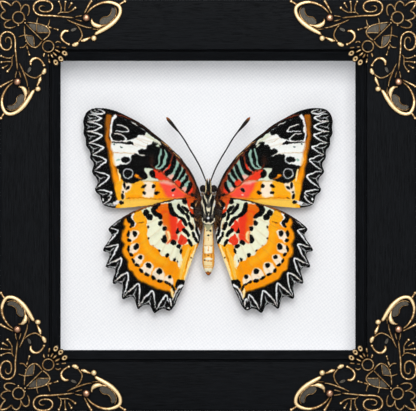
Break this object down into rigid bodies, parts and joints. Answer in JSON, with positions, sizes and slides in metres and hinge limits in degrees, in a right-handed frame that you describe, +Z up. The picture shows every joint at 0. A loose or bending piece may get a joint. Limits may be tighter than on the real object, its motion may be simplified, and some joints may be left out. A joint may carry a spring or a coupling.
{
  "type": "framed butterfly specimen",
  "caption": "Square black box frame with pierced brass corners and a glazed white interior that holds a spread butterfly, underside showing.",
  "frame": {"origin": "middle of the bottom of the object's box, on the surface that the lower rail stands on", "axes": "+Z up, +X to the right as seen from the front, the glass and the specimen face -Y"},
  "size_m": [0.15, 0.032, 0.148],
  "materials": {
    "black_wood": "black painted wood, satin, fine straight grain",
    "clear_glass": "clear flat picture glass",
    "white_card": "white paper board with a fine laid texture",
    "fibreboard": "brown hardboard, fine flecks",
    "zinc_steel": "zinc-plated steel",
    "antique_brass": "antique brass, dark in the recesses",
    "copper": "copper-plated steel",
    "white_foam": "white foam",
    "forewing_scales": "wing scales, orange, cream, red and black markings",
    "hindwing_scales": "wing scales, yellow-orange, cream, red and black markings",
    "body_hair": "short hair and scales, cream with black stripes",
    "antenna_black": "black chitin with brown tips"
  },
  "bodies": {
    "root": {"antenna_left": "antenna_black", "antenna_right": "antenna_black", "backing_board": "fibreboard", "butterfly_body": "body_hair", "corner_ornament_bottom_left": "antique_brass", "corner_ornament_bottom_right": "antique_brass", "corner_ornament_top_left": "antique_brass", "corner_ornament_top_right": "antique_brass", "forewing_left": "forewing_scales", "forewing_right": "forewing_scales", "frame_rail_bottom": "black_wood", "frame_rail_left": "black_wood", "frame_rail_right": "black_wood", "frame_rail_top": "black_wood", "glass_pane": "clear_glass", "hanger_nail_left": "zinc_steel", "hanger_nail_right": "zinc_steel", "hindwing_left": "hindwing_scales", "hindwing_right": "hindwing_scales", "mount_board": "white_card", "ornament_pin_1": "copper", "ornament_pin_2": "copper", "ornament_pin_3": "copper", "ornament_pin_4": "copper", "ornament_pin_5": "copper", "ornament_pin_6": "copper", "ornament_pin_7": "copper", "ornament_pin_8": "copper", "retaining_tab_bottom": "zinc_steel", "retaining_tab_left": "zinc_steel", "retaining_tab_right": "zinc_steel", "retaining_tab_top": "zinc_steel", "sawtooth_hanger": "zinc_steel", "spacer_bottom": "white_card", "spacer_left": "white_card", "spacer_right": "white_card", "spacer_top": "white_card", "specimen_pad": "white_foam"}
  },
  "joints": []
}
